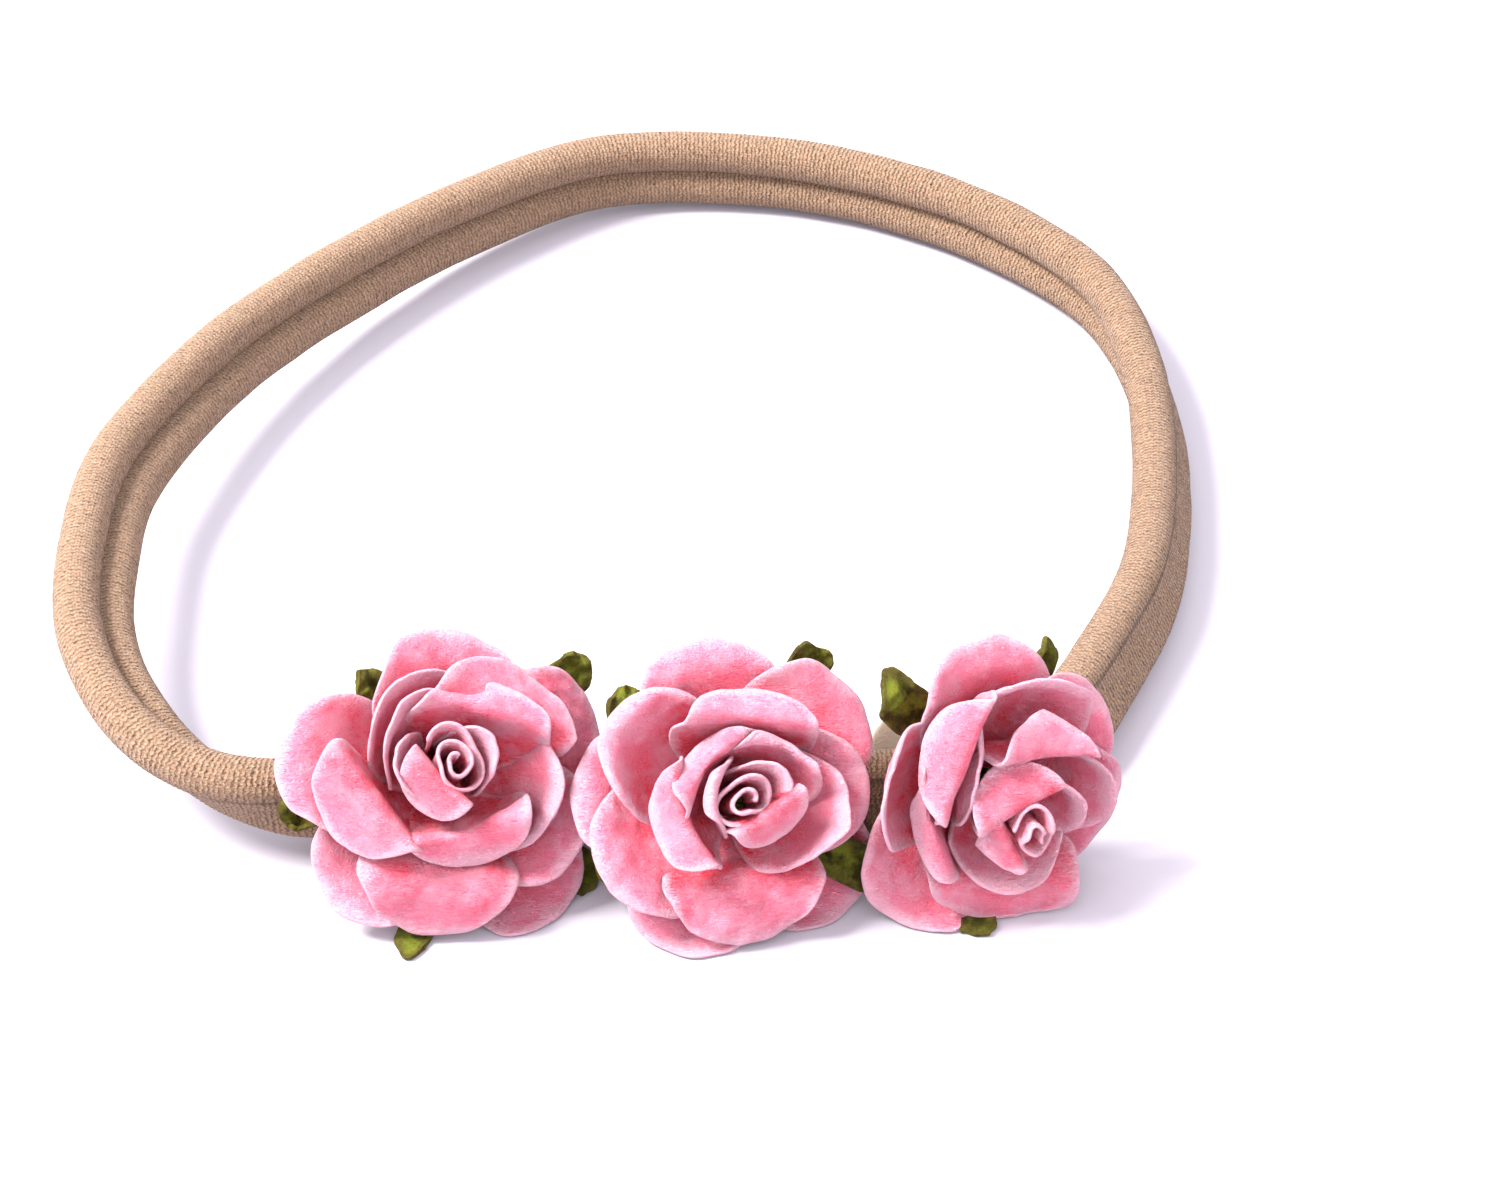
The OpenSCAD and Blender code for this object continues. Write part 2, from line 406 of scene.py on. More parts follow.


# Mulberry paper: hot colour towards the foot, partly dye and partly painted shade of the folds; pale and
# fibrous at the rim, partly paler paper and partly a painted highlight
def makePaper(name, look):
    material, tree, shader = startMaterial(name)
    petal = place3(tree, "petal")
    fibres = groupIn(tree, fibreGroup, {"Strand Length": look["strand"], "Grit Size": look["grit"],
                                       "Cloud Size": look["cloud"], "Seed": petal[2]})
    clouds, strands, high = fibres["Clouds"], fibres["Strands"], fibres["Height"]
    # painted shade: the deep colour towards the foot is partly dye and partly stands in for shade in the
    # folds
    depth = plus(tree, petal[1], times(tree, clouds, look["cloudShift"]))
    body = mixColour(tree, remap(tree, depth, look["deepDyeAndShadeTo"], look["midFrom"]), look["deep"], look["mid"])
    cloudy = remap(tree, clouds, *look["cloudRange"], 0.0, look["cloudy"])
    body = mixColour(tree, cloudy, body, look["light"])
    # on the pink paper the pale rim is partly paler paper and partly a painted highlight on the curled
    # rims; on the green paper the rim is browner
    broken = minus(tree, petal[0], times(tree, clouds, look["rimBroken"]))
    broken = minus(tree, broken, times(tree, strands, look["rimFrayed"]))
    rim = remap(tree, broken, -look["rimBroken"] * 0.5, look["rimWide"], look["rimPale"], 0.0)
    body = mixColour(tree, rim, body, look["rim"])
    body = mixColour(tree, times(tree, strands, look["strandy"]), body, look["rim"])
    # painted shade: the deep colour is laid into the low creases and pits of the fibre height
    grit = remap(tree, high, *look["hollowShadeRange"], look["hollowShade"], 0.0)
    body = mixColour(tree, grit, body, look["deep"])
    bumpInto(tree, shader, high, look["bump"], look["bumpDeep"])
    fillSockets(tree, shader, {
        "Base Color": body, "Roughness": remap(tree, high, 0.2, 0.9, *look["rough"]),
        "Specular IOR Level": look["specular"], "Subsurface Weight": look["through"],
        "Subsurface Radius": look["throughReach"], "Subsurface Scale": mm})
    return material


# the hollow shade range is the fibre height over which the painted shade in the hollows fades out
plainPaper = {
    "cloudShift": 0.16, "cloudRange": (0.42, 0.62), "rimWide": 0.5, "rimFrayed": 0.8,
    "hollowShadeRange": (0.4, 0.7), "rough": (0.78, 0.95), "bump": 1.0, "specular": 0.06}
# deep is partly dye and partly painted shade of the folds; rim is partly paler paper and partly a painted
# highlight
pinkLook = {
    **plainPaper, "deep": (0.98, 0.012, 0.05, 1), "mid": (0.98, 0.2, 0.325, 1),
    "light": (0.98, 0.41, 0.54, 1), "rim": (0.98, 0.56, 0.67, 1), "deepDyeAndShadeTo": 0.45, "midFrom": 0.95,
    "cloudy": 0.5, "rimBroken": 1.2, "rimPale": 0.8, "strandy": 0.3, "hollowShade": 0.35, "strand": 1.7,
    "grit": 0.36, "cloud": 2.6, "bumpDeep": 0.7, "through": 0.22, "throughReach": (0.4, 0.4, 0.4)}
budLook = {**pinkLook, "mid": (0.98, 0.11, 0.18, 1), "rimWide": 0.35, "rimBroken": 0.8}
greenLook = {
    **plainPaper, "deep": (0.045, 0.043, 0.008, 1), "mid": (0.14, 0.145, 0.025, 1),
    "light": (0.34, 0.39, 0.045, 1), "rim": (0.2, 0.13, 0.045, 1), "deepDyeAndShadeTo": 0.3, "midFrom": 0.9,
    "cloudy": 1.0, "rimBroken": 1.0, "rimPale": 0.5, "strandy": 0.15, "hollowShade": 1.0, "strand": 0.6,
    "grit": 0.3, "cloud": 1.6, "bumpDeep": 1.1, "through": 0.05, "throughReach": (0.4, 0.5, 0.1)}
petalPaper = makePaper("pink mulberry paper", pinkLook)
budPaper = makePaper("rolled bud paper", budLook)
sepalPaper = makePaper("green mulberry paper", greenLook)
stemPaper = makePaper("stem paper", {**greenLook, "mid": (0.11, 0.17, 0.035, 1), "strand": 3.0})

# groove is painted shade, the yarn darkened between the knit courses
knitLook = {"yarn": (0.18, 0.11, 0.07, 1), "light": (0.31, 0.2, 0.132, 1),
            "groove": (0.07, 0.037, 0.02, 1), "stitch": 0.27}


def makeKnit():
    material, tree, shader = startMaterial("nylon knit")
    place = place3(tree, "knitPlace")
    knit = groupIn(tree, knitGroup, {"Along": place[0], "Around": place[1], "Course": band["course"],
                                    "Stitch": knitLook["stitch"]})
    body = mixColour(tree, remap(tree, knit["Fluff"], 0.4, 0.62), knitLook["yarn"], knitLook["light"])
    # painted shade: the groove colour darkens the yarn between the courses
    body = mixColour(tree, remap(tree, knit["Groove Shade"], 0.2, 0.8, 0.0, 0.65), body, knitLook["groove"])
    fillSockets(tree, shader, {"Base Color": body, "Roughness": 0.72, "Specular IOR Level": 0.1,
                               "Sheen Weight": 0.1, "Sheen Roughness": 0.4})
    bumpInto(tree, shader, knit["Height"], 1.0, 0.2)
    return material


feltLook = {"body": (0.36, 0.25, 0.17, 1), "light": (0.44, 0.33, 0.24, 1)}


def makeFelt():
    material, tree, shader = startMaterial("craft felt")
    fibres = groupIn(tree, fibreGroup, {"Strand Length": 1.2, "Grit Size": 0.3, "Cloud Size": 2.0,
                                       "Seed": 4.0})
    mixed = plus(tree, times(tree, fibres["Strands"], 0.6), times(tree, fibres["Clouds"], 0.5))
    body = mixColour(tree, mixed, feltLook["body"], feltLook["light"])
    fillSockets(tree, shader, {"Base Color": body, "Roughness": 0.95, "Sheen Weight": 0.5})
    bumpInto(tree, shader, fibres["Height"], 0.9, 0.25)
    return material


glueLook = {"cloudy": (0.5, 0.45, 0.36, 1), "clear": (0.62, 0.58, 0.5, 1), "through": (1, 0.9, 0.7)}


def makeGlue():
    material, tree, shader = startMaterial("hot glue")
    fibres = groupIn(tree, fibreGroup, {"Strand Length": 3.0, "Grit Size": 0.8, "Cloud Size": 1.5,
                                       "Seed": 9.0})
    body = mixColour(tree, fibres["Clouds"], glueLook["cloudy"], glueLook["clear"])
    fillSockets(tree, shader, {
        "Base Color": body, "Roughness": remap(tree, fibres["Clouds"], 0.3, 0.7, 0.25, 0.45),
        "Subsurface Weight": 0.4, "Subsurface Radius": glueLook["through"], "Subsurface Scale": mm})
    bumpInto(tree, shader, fibres["Clouds"], 0.3, 0.3)
    return material


nylonKnit = makeKnit()
craftFelt = makeFelt()
hotGlue = makeGlue()
print("materials mixed")

finishPiece(bandPiece, "nylon_knit", nylonKnit, "nylon_band")


# roses: each is a stack of curled paper petals round a rolled bud
# Where each rose is glued, where its axis points and how far its middle nods off the axis
seats = {
    "left": {"along": 3.12, "right": 18, "up": 42, "lift": 0.4, "nod": (6, 14)},
    "middle": {"along": 0, "right": 12, "up": 40, "lift": 0, "nod": (7, 6)},
    "right": {"along": 23.95, "right": 20, "up": 20, "lift": 2.2, "nod": (7, -16)},
}
seatRise = 5  # from the band's middle line to the foot of each rose
faceTilt = math.radians(35)
press = {"low": 0.3, "soft": 0.35, "forward": 0.9}  # how paper gives where it meets the table


def faceFrame(side):
    # Middle of the glued face on the band, its normal and its upward direction
    seat = seats[side]
    place, outward, face, down = bandFrames(np.array([float(seat["along"])]))
    normal = math.cos(faceTilt) * outward[0] + np.array([0, 0, math.sin(faceTilt)])
    up = math.cos(faceTilt) * np.array([0, 0, 1]) - math.sin(faceTilt) * outward[0]
    return place[0] + seat["lift"] * up, normal, up


def roseFrame(side):
    seat = seats[side]
    middle, normal, up = faceFrame(side)
    turn, rise = math.radians(seat["right"]), math.radians(seat["up"])
    axis = np.array([math.sin(turn) * math.cos(rise), -math.cos(turn) * math.cos(rise), math.sin(rise)])
    right = unitRows(np.cross([0, 0, 1], axis))
    return middle + seatRise * normal, right, np.cross(axis, right), axis


def intoRose(side, points):
    # Local x right, y up, z along the axis; what would dip under the table is pressed flat on it
    base, right, up, axis = roseFrame(side)
    nod = np.tan(np.radians(seats[side]["nod"]))
    high = np.maximum(points[:, 2], 0)
    x, y = points[:, 0] + high * nod[0], points[:, 1] + high * nod[1]
    world = base + x[:, None] * right + y[:, None] * up + points[:, 2:] * axis
    low, soft = press["low"], press["soft"]
    lifted = low + soft * np.log1p(np.exp(np.clip((world[:, 2] - low) / soft, -30, 30))) - world[:, 2]
    lifted = np.where(world[:, 2] > low + 8 * soft, 0, lifted)
    world[:, 1] -= press["forward"] * lifted
    world[:, 2] += lifted
    return world


# What a petal is unless it says otherwise. line is its middle from foot to rim, as distance from
# the axis and height; wide is its flat width, neck the share of it at the foot, cup how its sides
# turn up, lip how far its rim curls out, twist how one side lifts over the next, shift its move
# sideways, crumple and fold the height and number of its waves, rag its torn rim, point its tip.
plainPetal = {"wide": 12.5, "neck": 0.42, "cup": 20, "lip": 0.25, "twist": 6, "shift": 0,
              "crumple": 0.26, "fold": 1, "rag": 0.05, "ragSize": 3, "point": 0}
petals = {
    "left": {
        "outer_petals": [
            {"turn": 161, "line": [(1, 0.3), (6, 1.6), (11, 3.6), (14.4, 3.2)]},
            {"turn": 76, "line": [(1, 0.3), (5, 1.4), (9.5, 3.4), (12.9, 3)], "wide": 13},
            {"turn": 8, "line": [(1, 0.4), (6, 2.4), (10.5, 4.4), (14.3, 3.2)], "cup": 8, "crumple": 0.4},
            {"turn": -60, "line": [(1, 0.2), (7, 0.8), (12, 1.8), (15.5, 2)], "wide": 12},
            {"turn": -140, "line": [(1, 0.2), (6, 1), (11, 2.2), (13.9, 2)]}],
        "second_petals": [
            {"turn": 203, "line": [(1.2, 0.8), (4.4, 2.6), (5.9, 5.6), (6.6, 7.6), (8, 7.6), (10.8, 4.4)],
             "wide": 11.5, "cup": 6, "shift": -2, "lip": 0, "twist": 0},
            {"turn": -108, "line": [(1, 0.8), (5, 2.6), (7.6, 5.2), (10, 5.6), (13.4, 3)], "wide": 13.5,
             "cup": -6, "crumple": 0.35, "lip": 0},
            {"turn": -42, "line": [(1, 0.8), (6, 2.2), (10, 4.2), (12.9, 6)], "cup": 36, "lip": 0.5},
            {"turn": 108, "line": [(1, 0.8), (4.6, 1.8), (7, 4), (8.4, 7)], "cup": 50, "lip": 0.4},
            {"turn": 54, "line": [(1.2, 1), (3.4, 2.6), (4.7, 5.6), (5.4, 7.8), (7, 7.8), (10.6, 5)],
             "wide": 13, "cup": 12, "shift": -2.5, "lip": 0, "crumple": 0.3}],
        "third_petals": [
            {"turn": -88, "line": [(1.2, 1.4), (3.2, 2.6), (4.6, 5.2), (5.1, 7.2), (6.2, 7.5), (8.3, 5.6)],
             "wide": 12, "cup": 20, "lip": 0},
            {"turn": -26, "line": [(1.2, 1.4), (5, 2.4), (7.6, 4.8), (9, 8)], "cup": 48, "lip": 0.7},
            {"turn": 120, "line": [(1.2, 1.6), (4, 2.8), (5.6, 5.4), (6.4, 8.2)], "wide": 11.5, "cup": 62,
             "lip": 0.5, "crumple": 0.3},
            {"turn": 64, "line": [(1.2, 1.6), (3.2, 3.8), (4.1, 6.6), (4.5, 8.5), (5.5, 8.8), (7.4, 7.4)],
             "wide": 12.5, "cup": 14, "shift": -1.5, "lip": 0, "twist": 0}],
        "inner_petals": [
            {"turn": 172, "line": [(1.2, 2), (3.4, 4.4), (4.7, 8.6)], "wide": 8.5, "cup": 66, "lip": 0.4},
            {"turn": 212, "line": [(1, 3), (1.4, 7), (1.8, 9), (3, 8.8), (4.6, 7)], "wide": 7.2, "cup": 6,
             "lip": 0, "twist": 0, "crumple": 0.1},
            {"turn": 25, "line": [(1.2, 3), (2.5, 5.5), (3.2, 9.3)], "wide": 8.4, "cup": 84, "lip": 0.4}],
    },
    "middle": {
        "outer_petals": [
            {"turn": 95, "line": [(1, 0.3), (6, 1.6), (11, 3.4), (14.3, 2.6)], "wide": 13.4, "cup": 12},
            {"turn": 36, "line": [(1, 0.4), (6, 2), (10.5, 4.2), (14.2, 3)], "cup": 8},
            {"turn": -46, "line": [(1, 0.2), (7, 1), (11, 1.5), (14.2, 1.4)]},
            {"turn": -118, "line": [(1, 0.2), (7, 0.9), (11, 1.9), (13.6, 1.5)]},
            {"turn": 168, "line": [(1, 0.3), (7, 1.1), (11, 1.9), (13.4, 1.7)]},
            {"turn": -157, "line": [(1, 0.3), (5, 1.9), (9.5, 3.5), (13, 4.2)], "wide": 13, "cup": 10,
             "crumple": 0.45}],
        "second_petals": [
            {"turn": 140, "line": [(1, 0.8), (5, 1.8), (9, 3.6), (12.6, 5.8)], "cup": 42, "lip": 0.8,
             "crumple": 0.3},
            {"turn": 78, "line": [(1.2, 1.2), (4.2, 2.6), (5.8, 5.6), (6.5, 7.8), (7.6, 7.9), (9.4, 6.2)],
             "wide": 12.5, "cup": 10, "lip": 0, "twist": 0},
            {"turn": 0, "line": [(1, 0.8), (5.5, 2.4), (9, 4.4), (11.4, 5.2)], "wide": 11.5, "cup": 28},
            {"turn": -92, "line": [(1, 0.8), (4.5, 2.4), (6.6, 5.4), (9, 5.2), (12, 3.2)], "wide": 14,
             "cup": -4, "lip": 0, "crumple": 0.7}],
        "third_petals": [
            {"turn": 190, "line": [(1.2, 1.6), (3.2, 3), (4.5, 5.6), (5, 7.4), (6.1, 7.4), (7.8, 5.8)],
             "wide": 10.5, "cup": 28, "lip": 0},
            {"turn": -24, "line": [(1.2, 1.6), (4.6, 2.8), (7, 5), (8.2, 7.8)], "cup": 50, "lip": 0.6,
             "twist": -8, "point": 0.8},
            {"turn": 130, "line": [(1.2, 1.8), (2.8, 3.8), (3.7, 6.4), (4.2, 8.2), (5, 8), (6, 6.6)],
             "wide": 10.5, "cup": 30, "lip": 0},
            {"turn": 58, "line": [(1.2, 1.8), (3.4, 3.8), (4.5, 6.4), (5, 8.3), (6.1, 7.9)], "wide": 10.5,
             "cup": 36, "shift": -1, "lip": 0.2}],
        "inner_petals": [
            {"turn": 34, "line": [(1.1, 3), (2.6, 5.5), (3.2, 9)], "wide": 8.4, "cup": 84, "lip": 0.4},
            {"turn": 165, "line": [(1.1, 3), (2.4, 5.5), (3, 8.6), (3.8, 8.4)], "wide": 8, "cup": 56},
            {"turn": -64, "line": [(0.9, 3.4), (1.4, 7), (1.8, 8.7), (3, 8.4), (4.5, 7)], "wide": 7.4,
             "cup": 10, "shift": 0.8, "lip": 0, "twist": 0}],
    },
    "right": {
        "outer_petals": [
            {"turn": 93, "line": [(1, 0.4), (6, 1.8), (11, 3.4), (14.3, 3)], "wide": 13, "cup": 22},
            {"turn": 158, "line": [(1, 0.4), (6.5, 1.8), (10.5, 4), (12.6, 7.4)], "wide": 12, "cup": 26,
             "lip": 0},
            {"turn": -138, "line": [(1, 0.3), (6, 1.2), (11, 2.6), (14.4, 2.6)], "wide": 13, "cup": 14},
            {"turn": 35, "line": [(1, 0.4), (5, 1.6), (9, 3.2), (12.2, 3)], "wide": 13, "cup": 15},
            {"turn": -22, "line": [(1, 0.3), (5, 1.4), (9, 3), (11.8, 3)], "wide": 13},
            {"turn": -58, "line": [(1, 0.1), (6, 0.8), (9, 1.4), (12.2, 1.6)], "wide": 10}],
        "second_petals": [
            {"turn": -104, "line": [(1.2, 1), (4.4, 2.6), (6.2, 5.2), (8.4, 5.6), (11.2, 3.8)], "wide": 14,
             "cup": 16, "lip": 0, "crumple": 0.3},
            {"turn": 184, "line": [(1.2, 1.2), (4.8, 2.8), (6.8, 5.6), (7.6, 7), (9, 5.6)], "wide": 13,
             "cup": 12, "lip": 0, "shift": -1.5},
            {"turn": 150, "line": [(1.2, 1), (5, 2.6), (6.8, 5.8), (7.6, 8), (8.7, 7.7), (10.2, 5.2)],
             "cup": 6, "shift": -4, "lip": 0, "twist": 0},
            {"turn": 66, "line": [(1.2, 1), (6, 2.4), (10, 4.6), (11.8, 6.6)], "cup": 26, "lip": 0.5}],
        "third_petals": [
            {"turn": 158, "line": [(1.2, 1.6), (4, 3), (5.2, 5.8), (5.5, 8.6)], "wide": 11.6, "cup": 18,
             "shift": -3, "lip": 0.6},
            {"turn": -95, "line": [(1.2, 1.8), (4, 2.8), (5.6, 5), (6.2, 7.6)], "wide": 13, "cup": 62},
            {"turn": 12, "line": [(1.2, 1.6), (5, 2.8), (7.2, 5.2), (8.2, 7.8)], "wide": 12, "cup": 46},
            {"turn": 74, "line": [(1.2, 1.6), (4.2, 3), (5.6, 5.8), (6.2, 8), (7.3, 8), (9, 6.6)],
             "wide": 10.5, "cup": 4, "shift": -1, "lip": 0, "point": 0.8}],
        "inner_petals": [
            {"turn": 22, "line": [(1.2, 2.4), (3.6, 4.8), (4.6, 8.9)], "wide": 10, "cup": 64, "lip": 0.5},
            {"turn": 108, "line": [(1, 3), (1.8, 7), (2.5, 8.9), (4, 8.6), (5.8, 7)], "wide": 8.6, "cup": 4,
             "lip": 0, "twist": 0, "crumple": 0.1},
            {"turn": 196, "line": [(1, 3), (1.6, 7), (2.3, 8.8), (3.9, 7.6)], "wide": 6.6, "cup": 18,
             "lip": 0, "point": 0.8}],
    },
}
paper = {
    "thick": 0.34, "sepalThick": 0.45, "columns": 27, "rows": 27,
    "shoulder": 0.46,  # where the neck has widened to the blade
    "waveHigh": 1.6, "waveSize": 4.2, "creaseSize": 2.2, "crinkleSize": 1.2,
    "lipWide": 1.5,  # how much of the rim curls
}


def curveThrough(stops, count=80):
    # Smooth curve through the stops, cut into even steps: places, slopes and its length
    p = np.array(stops, dtype=float)
    p = np.concatenate([[2 * p[0] - p[1]], p, [2 * p[-1] - p[-2]]])
    t = np.linspace(0, 1, 24, endpoint=False)[:, None]  # steps from stop to stop
    bits = []
    for a, b, c, d in zip(p, p[1:], p[2:], p[3:]):
        bits.append(smoothCurve(a, b, c, d, t))
    line = np.concatenate([*bits, p[-2:-1]])
    gone = lengthAlong(line)
    even = np.linspace(0, gone[-1], count)
    place = np.stack([np.interp(even, gone, line[:, k]) for k in (0, 1)], 1)
    return even, place, unitRows(np.gradient(place, axis=0)), gone[-1]


def flatPetal(shape, length, seed):
    # Flat outline: a round blade on a narrow neck. x across, y from the foot, edge to the rim
    s = np.linspace(-1, 1, paper["columns"])[None] * np.ones((paper["rows"], 1))
    t = np.linspace(0, 1, paper["rows"])[:, None] * np.ones((1, paper["columns"]))
    r = shape["wide"] / 2
    low = np.clip(t / paper["shoulder"], 0, 1)
    top = np.clip((t - paper["shoulder"]) / (1 - paper["shoulder"]), 0, 1)
    x = s * r * (shape["neck"] + (1 - shape["neck"]) * np.sin(low * math.pi / 2)) * np.sqrt(1 - top**2 / 2)
    straight = max(length - r, 0.3 * length)
    y = low * straight + (length - straight) * top * np.sqrt(1 - s**2 / 2)
    spots = np.stack([x.ravel(), y.ravel(), np.full(x.size, seed * 3.7)], 1)
    rag = shape["rag"] * roughness3d(spots, shape["ragSize"], seed + 3).reshape(x.shape)
    x, y = x * (1 + rag * s**2), y + r * rag * top
    y = y + shape["point"] * top**2 * np.clip(1 - 1.6 * np.abs(s), 0, 1)
    edge = np.minimum(r * (1 - np.abs(s)) * 1.1 + 0.3 * (1 - top), (1 - t) * length)
    return x, y, np.maximum(edge, 0), t


def petalGrid(shape, seed):
    even, place, slope, length = curveThrough(shape["line"])
    x, y, edge, t = flatPetal(shape, length, seed)
    along = np.clip(y, 0, length)
    mid = np.stack([np.interp(along, even, place[:, k]) for k in (0, 1)], -1)
    tip = np.stack([np.interp(along, even, slope[:, k]) for k in (0, 1)], -1)
    mid = mid + tip * (y - along)[..., None]
    r = shape["wide"] / 2
    step, half = 0.01, 120  # the bow of the paper is summed in small steps from side to side
    fine = np.linspace(-half * step, half * step, 2 * half + 1)
    bend = np.radians(shape["cup"]) * fine
    out = np.cumsum(np.cos(bend)) * step * r
    lift = np.cumsum(np.sin(bend)) * step * r
    across = np.interp(x / r, fine, out - out[half])
    high = np.interp(x / r, fine, lift - lift[half])
    steep = np.degrees(np.arctan2(tip[..., 1], tip[..., 0]))
    high = high * (1 - 0.8 * smoothStep((15 - steep) / 45))  # a rim that falls away loses its cup
    twist = math.radians(shape["twist"]) * t
    cosine, sine = np.cos(twist), np.sin(twist)
    across, high = across * cosine - high * sine, across * sine + high * cosine
    spots = np.stack([x.ravel(), y.ravel(), np.full(x.size, seed * 9.1)], 1)
    waves = roughness3d(spots, paper["waveSize"] / shape["fold"], seed)
    waves -= 0.5 * np.abs(roughness3d(spots, paper["creaseSize"] / shape["fold"], seed + 5))
    waves -= 0.4 * np.abs(roughness3d(spots, paper["crinkleSize"], seed + 9))
    high = high + shape["crumple"] * paper["waveHigh"] * waves.reshape(x.shape) * smoothStep(t * 2)
    high = high - shape["lip"] * np.clip(1 - edge / paper["lipWide"], 0, 1)**2
    inward = np.stack([-tip[..., 1], tip[..., 0]], -1)
    radius = mid[..., 0] + inward[..., 0] * high
    across = across + shape["shift"] * smoothStep(t * 1.6)
    turn = math.radians(shape["turn"])
    points = np.stack([radius * math.cos(turn) - across * math.sin(turn),
                       radius * math.sin(turn) + across * math.cos(turn),
                       mid[..., 1] + inward[..., 1] * high], -1)
    field = np.stack([edge, t, np.full(x.shape, float(seed % 17))], -1)
    return points.reshape(-1, 3), field.reshape(-1, 3)


def thicken(piece, thick):
    solid = piece.modifiers.new("thickness", "SOLIDIFY")
    solid.thickness = thick * mm
    solid.offset = 0
    softenPiece(piece, 1)


def joinGrids(name, side, grids, rows, columns):
    points, fields, faces = [], [], []
    for k, (grid, field) in enumerate(grids):
        faces += gridFaces(rows, columns, start=k * rows * columns)
        points.append(intoRose(side, grid))
        fields.append(field)
    return meshObject(name, np.concatenate(points), faces, {"petal": np.concatenate(fields)})


def makeWhorl(side, layer):
    grids = []
    for k, own in enumerate(petals[side][layer]):
        seed = 1 + k + 10 * list(petals[side]).index(layer) + 50 * sides.index(side)
        grids.append(petalGrid({**plainPetal, **own}, seed))
    piece = joinGrids(f"{side}_{layer[:-7]}_whorl", side, grids, paper["rows"], paper["columns"])
    thicken(piece, paper["thick"])
    finishPiece(piece, "rose_paper", petalPaper, f"{side}_{layer}")


# buds: a paper strip rolled loosely on the stem, a little squashed
buds = {
    "left": {"turns": 2.2, "start": 60, "wide": 2.4, "high": 9.3, "squash": (0.22, 100)},
    "middle": {"turns": 2.0, "start": -30, "wide": 2.4, "high": 9.1, "squash": (0.16, 20)},
    "right": {"turns": 1.6, "start": -60, "wide": 1.9, "high": 9.9, "squash": (0.2, 80)},
}
budShape = {"low": 3.1, "core": 0.4, "flare": 0.35, "taper": 0.25, "slope": 0.5, "thick": 0.36,
            "uneven": 1.1, "waves": 7, "lobed": 0.09, "dented": 0.2, "dents": 11,
            "columns": 96, "rows": 18}


def makeBud(side):
    bud = buds[side]
    seed = 7 + sides.index(side)
    a = np.linspace(0, 1, budShape["columns"])[None]
    t = np.linspace(0, 1, budShape["rows"])[:, None]
    turn = np.radians(bud["start"]) + 2 * math.pi * bud["turns"] * a
    wave = np.array([noise.noise(Vector((x * budShape["waves"], seed, 0))) for x in a[0]])[None]
    dent = np.array([noise.noise(Vector((x * budShape["dents"], seed, 4))) for x in a[0]])[None]
    radius = budShape["core"] + (bud["wide"] - budShape["core"]) * a
    much, way = bud["squash"]
    oval = much * np.cos(2 * (turn - math.radians(way)))
    lobes = budShape["lobed"] * np.cos(3 * turn + seed)
    radius = radius * (1 + oval + lobes + budShape["dented"] * dent)
    radius = radius + budShape["flare"] * t**5 * (0.3 + a) - budShape["taper"] * (1 - t) * a
    top = bud["high"] - budShape["slope"] * a + budShape["uneven"] * wave
    z = budShape["low"] + (top - budShape["low"]) * t
    points = np.stack([radius * np.cos(turn), radius * np.sin(turn), z + 0 * turn], -1).reshape(-1, 3)
    edge = (1 - t) * (bud["high"] - budShape["low"]) + 0 * a
    field = np.stack([edge, t + 0 * a, np.full(edge.shape, float(seed))], -1).reshape(-1, 3)
    piece = joinGrids(f"{side}_rolled_bud", side, [(points, field)], budShape["rows"], budShape["columns"])
    thicken(piece, budShape["thick"])
    finishPiece(piece, "bud_paper", budPaper, f"{side}_bud")


# calyx: ragged sepals of thick green paper under the petals
plainSepal = {**plainPetal, "wide": 3.2, "neck": 0.9, "cup": 30, "lip": 0, "twist": 18, "crumple": 0.9,
              "rag": 0.42, "ragSize": 1.7, "fold": 1.5}
sepals = {
    "left": [
        {"turn": 113, "line": [(1, 0), (6, 0.6), (11.7, 1.6)], "wide": 3.4},
        {"turn": 178, "line": [(1, 0), (7, 0.2), (13.7, 0.6)], "wide": 2.8},
        {"turn": -110, "line": [(1, 0), (8, 0.3), (14.7, 0.8)], "wide": 3.4},
        {"turn": -44, "line": [(1, 0), (8, 0), (16.4, 0.4)], "wide": 4},
        {"turn": 27, "line": [(1, 0), (8, 0.6), (16.4, 2)], "wide": 3.8}],
    "middle": [
        {"turn": 128, "line": [(1, 0), (8, 0.8), (13.9, 2.2)], "wide": 4.2},
        {"turn": 51, "line": [(1, 0), (8, 0.8), (15.8, 2)], "wide": 3.8},
        {"turn": -34, "line": [(1, 0), (6, 1.6), (10.5, 2.9), (15.2, 2.4)], "wide": 3.8},
        {"turn": 202, "line": [(1, 0), (7, 0), (12.1, 0.2)]},
        {"turn": -120, "line": [(1, 0), (6, 0), (10.8, 0.2)]}],
    "right": [
        {"turn": 127, "line": [(1, 0), (8, 0.8), (14.1, 2.4)], "wide": 4.2},
        {"turn": 58, "line": [(1, 0), (8, 0.6), (13.3, 1.6)], "wide": 3.2},
        {"turn": -100, "line": [(1, 0), (8, 0.4), (14.7, 1.6)], "wide": 3.4},
        {"turn": -20, "line": [(1, 0), (6, 0), (10.3, 0.4)]},
        {"turn": 196, "line": [(1, 0), (6, 0), (10.8, 0.4)]}],
}


def makeCalyx(side):
    grids = []
    for k, own in enumerate(sepals[side]):
        grids.append(petalGrid({**plainSepal, **own}, 200 + k + 10 * sides.index(side)))
    piece = joinGrids(f"{side}_sepals", side, grids, paper["rows"], paper["columns"])
    thicken(piece, paper["sepalThick"])
    finishPiece(piece, "sepal_paper", sepalPaper, f"{side}_calyx")


# stems: wire wound in crepe paper, seen only where the bud opens
stemShape = {"radius": 0.72, "low": -1.1, "high": 5.6, "pitch": 1.1, "groove": 0.07, "rows": 90,
             "columns": 20}


